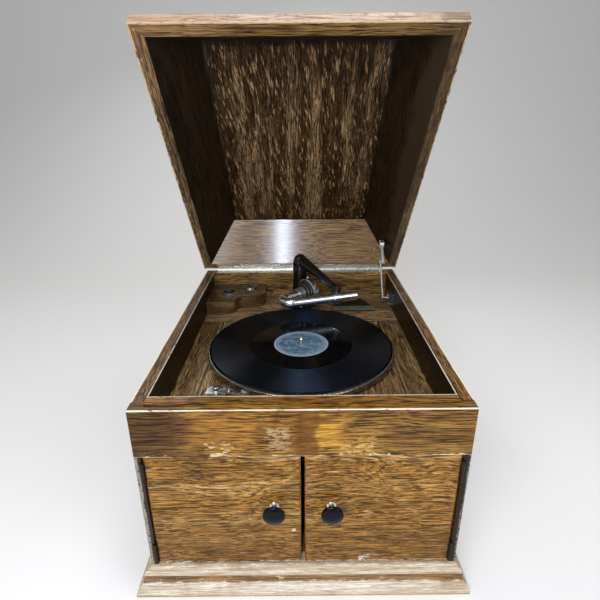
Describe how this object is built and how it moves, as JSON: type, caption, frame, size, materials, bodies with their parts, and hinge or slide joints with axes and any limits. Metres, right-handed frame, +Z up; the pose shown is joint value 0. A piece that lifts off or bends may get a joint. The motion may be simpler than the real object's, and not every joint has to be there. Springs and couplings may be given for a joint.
{
  "type": "tabletop gramophone",
  "caption": "Oak tabletop gramophone with an open hipped lid, doors over an inside horn, spring motor, turntable with record, folding tone arm, winding crank, brake and needle cups.",
  "frame": {"origin": "on the table, under the centre of the cabinet, on the underside of the bottom board", "axes": "+Z up, +X to the right as seen from the doors, +Y towards the lid hinge at the back"},
  "size_m": [0.52, 0.5788, 0.7124],
  "materials": {
    "oak": "varnished, dark stained, worn",
    "nickel": "nickel plated, slightly tarnished",
    "black_iron": "black enamel",
    "steel": "machined",
    "brass": "machined",
    "felt": "woven felt",
    "shellac": "glossy black",
    "mica": "thin sheet"
  },
  "bodies": {
    "cabinet": {"side_panel_left": "oak", "side_panel_right": "oak", "back_panel": "oak", "front_rail": "oak", "front_lip": "oak", "base_moulding_front": "oak", "base_moulding_sides": "oak", "base_rail_back": "oak", "bottom_board": "oak", "board_surround": "oak", "rear_shelf": "oak", "motor_board": "oak", "board_cleats": "oak", "board_screws": "nickel", "door_hinge_frame_leaves": "nickel", "lid_hinge_lower_leaf": "nickel", "needle_block": "oak", "needle_cups": "nickel", "tone_arm_bracket": "black_iron", "horn_elbow": "black_iron", "horn": "oak", "crank_bearing": "nickel", "brake_plate": "nickel", "motor_plates": "steel", "motor_pillars": "steel", "gear_case": "black_iron", "stay_lower_bracket": "nickel"},
    "left_door": {"door_left": "oak", "knob_left": "nickel", "door_leaves_left": "nickel"},
    "right_door": {"door_right": "oak", "knob_right": "nickel", "door_leaves_right": "nickel"},
    "lid": {"lid_top_panel": "oak", "lid_boards": "oak", "lid_rim_frame": "oak", "lid_hinge_upper_leaf": "nickel", "stay_upper_bracket": "nickel"},
    "lid_stay_rod": {"stay_rod": "nickel"},
    "lid_stay_channel": {"stay_channel": "nickel"},
    "turntable_set": {"spindle": "steel", "turntable": "nickel", "turntable_felt": "felt", "record": "shellac"},
    "intermediate": {"intermediate_wheel": "steel"},
    "barrel": {"spring_barrel": "steel"},
    "governor_set": {"governor": "brass", "governor_weights": "brass"},
    "arbor": {"spring_arbor": "steel"},
    "crank": {"winding_crank": "nickel"},
    "grip": {"crank_grip": "oak"},
    "arm": {"tone_arm": "black_iron"},
    "gooseneck_set": {"gooseneck": "nickel", "swivel_collar": "nickel"},
    "sound_box": {"sound_box_back": "black_iron", "sound_box_rim": "nickel", "diaphragm": "mica", "stylus_bar": "nickel"},
    "brake": {"brake_lever": "nickel"}
  },
  "joints": [
    {"name": "left_door_open", "type": "hinge", "parent": "cabinet", "child": "left_door", "pos_m": [-0.19395, -0.2625, 0.1265], "axis": [0, 0, -1], "range_deg": [0, 110]},
    {"name": "right_door_open", "type": "hinge", "parent": "cabinet", "child": "right_door", "pos_m": [0.19395, -0.2625, 0.1265], "axis": [0, 0, 1], "range_deg": [0, 110]},
    {"name": "lid_close", "type": "hinge", "parent": "cabinet", "child": "lid", "pos_m": [0, 0.263, 0.28215], "axis": [1, 0, 0], "range_deg": [0, 52]},
    {"name": "stay_rod_turn", "type": "hinge", "parent": "lid", "child": "lid_stay_rod", "pos_m": [0.17, 0.23105, 0.34602], "axis": [1, 0, 0], "range_deg": [-52.29, 0]},
    {"name": "stay_channel_turn", "type": "hinge", "parent": "cabinet", "child": "lid_stay_channel", "pos_m": [0.17, 0.16, 0.254], "axis": [1, 0, 0], "range_deg": [-2, 6]},
    {"name": "turntable_spin", "type": "hinge", "parent": "cabinet", "child": "turntable_set", "pos_m": [0, -0.019, 0.241], "axis": [0, 0, 1], "continuous": true},
    {"name": "intermediate_spin", "type": "hinge", "parent": "cabinet", "child": "intermediate", "pos_m": [0.03545, -0.01275, 0.2], "axis": [0, 0, 1], "continuous": true},
    {"name": "barrel_spin", "type": "hinge", "parent": "cabinet", "child": "barrel", "pos_m": [0.07321, 0.03388, 0.2], "axis": [0, 0, 1], "continuous": true},
    {"name": "governor_spin", "type": "hinge", "parent": "cabinet", "child": "governor_set", "pos_m": [-0.03082, -0.03022, 0.2], "axis": [0, 0, 1], "continuous": true},
    {"name": "arbor_spin", "type": "hinge", "parent": "cabinet", "child": "arbor", "pos_m": [0.07321, 0.03388, 0.17], "axis": [0, 0, 1], "continuous": true},
    {"name": "crank_turn", "type": "hinge", "parent": "cabinet", "child": "crank", "pos_m": [0.233, 0.03388, 0.138], "axis": [1, 0, 0], "continuous": true},
    {"name": "grip_spin", "type": "hinge", "parent": "crank", "child": "grip", "pos_m": [0.26, 0.03388, 0.046], "axis": [1, 0, 0], "continuous": true},
    {"name": "tone_arm_swing", "type": "hinge", "parent": "cabinet", "child": "arm", "pos_m": [0, 0.192, 0.301], "axis": [0, 0, 1], "range_deg": [-60, 15]},
    {"name": "gooseneck_fold", "type": "hinge", "parent": "arm", "child": "gooseneck_set", "pos_m": [0.068, 0.112, 0.284], "axis": [0, 0, 1], "range_deg": [0, 110]},
    {"name": "sound_box_turn", "type": "hinge", "parent": "gooseneck_set", "child": "sound_box", "pos_m": [-0.00011, 0.13425, 0.274], "axis": [0.788, 0.6157, 0], "range_deg": [-124, 0]},
    {"name": "brake_swing", "type": "hinge", "parent": "cabinet", "child": "brake", "pos_m": [-0.122, -0.14, 0.235], "axis": [0, 0, 1], "range_deg": [-14, 0]}
  ],
  "couplings": [
    {"joint": "stay_rod_turn", "follows": "lid_close", "ratio": -1.0055},
    {"joint": "stay_channel_turn", "follows": "lid_close", "ratio": -0.005503},
    {"joint": "intermediate_spin", "follows": "turntable_spin", "ratio": -0.2},
    {"joint": "barrel_spin", "follows": "turntable_spin", "ratio": 0.04},
    {"joint": "governor_spin", "follows": "turntable_spin", "ratio": -7.2},
    {"joint": "arbor_spin", "follows": "crank_turn", "ratio": 1}
  ]
}
